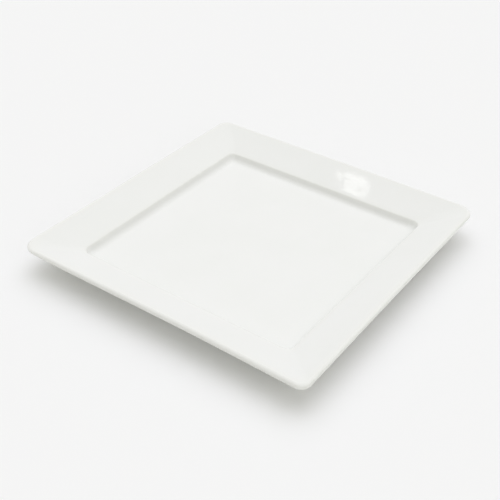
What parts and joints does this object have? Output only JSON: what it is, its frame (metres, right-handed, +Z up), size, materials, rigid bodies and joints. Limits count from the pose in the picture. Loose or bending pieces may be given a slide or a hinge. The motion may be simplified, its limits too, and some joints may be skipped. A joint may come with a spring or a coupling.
{
  "type": "square plate",
  "caption": "Square white porcelain plate: a wide rim that rises from a sunk square well to a rounded lip, on a bare square foot ring, to hold and serve food.",
  "frame": {"origin": "middle of the foot ring's base, on the table", "axes": "+Z up out of the well, X and Y along the plate's sides"},
  "size_m": [0.27, 0.27, 0.0254],
  "materials": {
    "porcelain_body": "bare fired porcelain, matt, ground smooth on the foot",
    "outer_glaze": "clear gloss glaze over white porcelain",
    "foot_recess_glaze": "clear gloss glaze over white porcelain"
  },
  "bodies": {
    "root": {"porcelain_body": "porcelain_body", "outer_glaze": "outer_glaze", "foot_recess_glaze": "foot_recess_glaze"}
  },
  "joints": []
}
